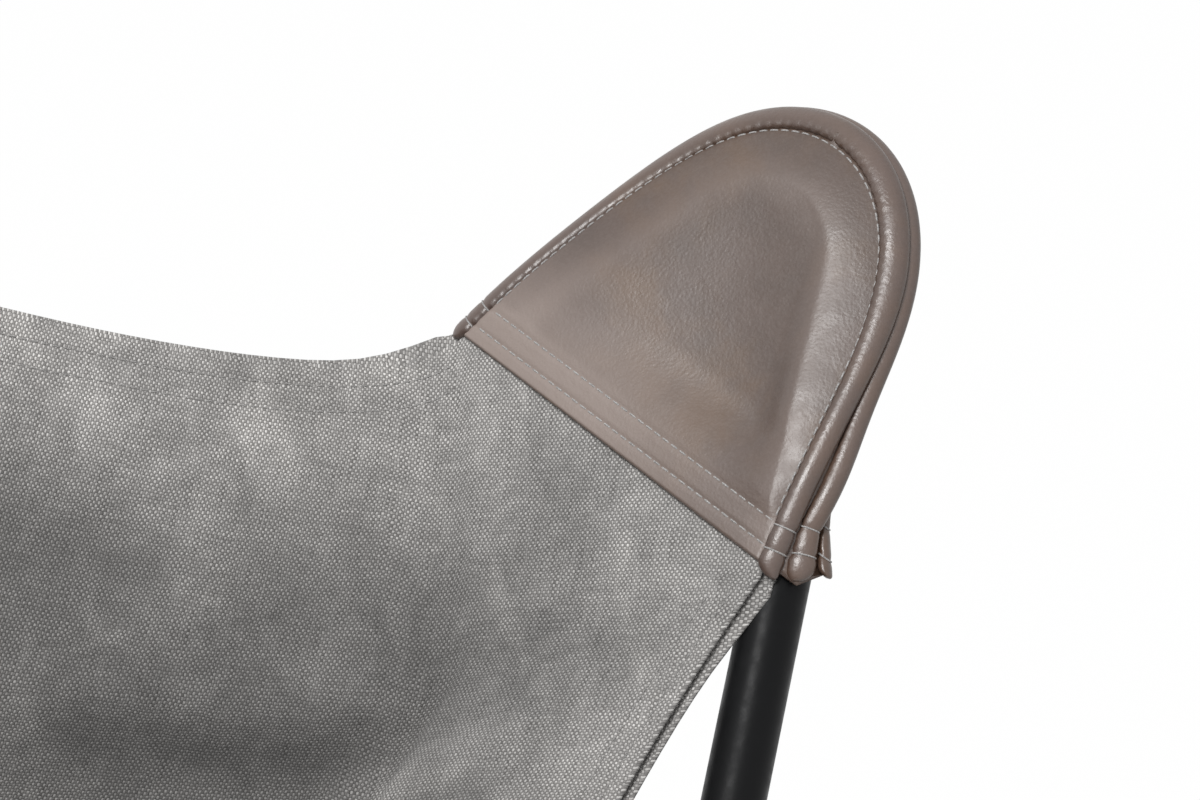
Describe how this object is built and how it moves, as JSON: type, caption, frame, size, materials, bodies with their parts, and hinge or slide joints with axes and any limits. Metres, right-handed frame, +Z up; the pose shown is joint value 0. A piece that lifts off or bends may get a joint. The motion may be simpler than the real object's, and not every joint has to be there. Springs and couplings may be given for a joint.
{
  "type": "butterfly sling chair",
  "caption": "Low lounge chair: two crossed loops of bent black steel tube carry a grey canvas sling by four bound leather corner pockets.",
  "frame": {"origin": "on the floor under the middle of the chair", "axes": "+Z up, -Y the front that the sitter faces, +X to the right when looking along +Y"},
  "size_m": [0.7916, 0.8302, 0.9155],
  "materials": {
    "black_steel": "satin powder coat",
    "black_zinc": "black zinc",
    "black_plastic": "matte",
    "grey_leather": "smooth grain, semi-gloss",
    "grey_canvas": "washed plain weave, matt"
  },
  "bodies": {
    "root": {"bolt_back": "black_zinc", "bolt_front": "black_zinc", "bolt_left": "black_zinc", "bolt_right": "black_zinc", "canvas_face": "grey_canvas", "canvas_lining": "grey_canvas", "glide_back_left": "black_plastic", "glide_back_right": "black_plastic", "glide_front_left": "black_plastic", "glide_front_right": "black_plastic", "inner_loop": "black_steel", "nut_back": "black_zinc", "nut_front": "black_zinc", "nut_left": "black_zinc", "nut_right": "black_zinc", "outer_loop": "black_steel", "pocket_back_left_back_binding": "grey_leather", "pocket_back_left_back_panel": "grey_leather", "pocket_back_left_front_binding": "grey_leather", "pocket_back_left_front_panel": "grey_leather", "pocket_back_left_gusset": "grey_leather", "pocket_back_right_back_binding": "grey_leather", "pocket_back_right_back_panel": "grey_leather", "pocket_back_right_front_binding": "grey_leather", "pocket_back_right_front_panel": "grey_leather", "pocket_back_right_gusset": "grey_leather", "pocket_front_left_back_binding": "grey_leather", "pocket_front_left_back_panel": "grey_leather", "pocket_front_left_front_binding": "grey_leather", "pocket_front_left_front_panel": "grey_leather", "pocket_front_left_gusset": "grey_leather", "pocket_front_right_back_binding": "grey_leather", "pocket_front_right_back_panel": "grey_leather", "pocket_front_right_front_binding": "grey_leather", "pocket_front_right_front_panel": "grey_leather", "pocket_front_right_gusset": "grey_leather", "saddle_back": "black_plastic", "saddle_front": "black_plastic", "saddle_left": "black_plastic", "saddle_right": "black_plastic"}
  },
  "joints": []
}
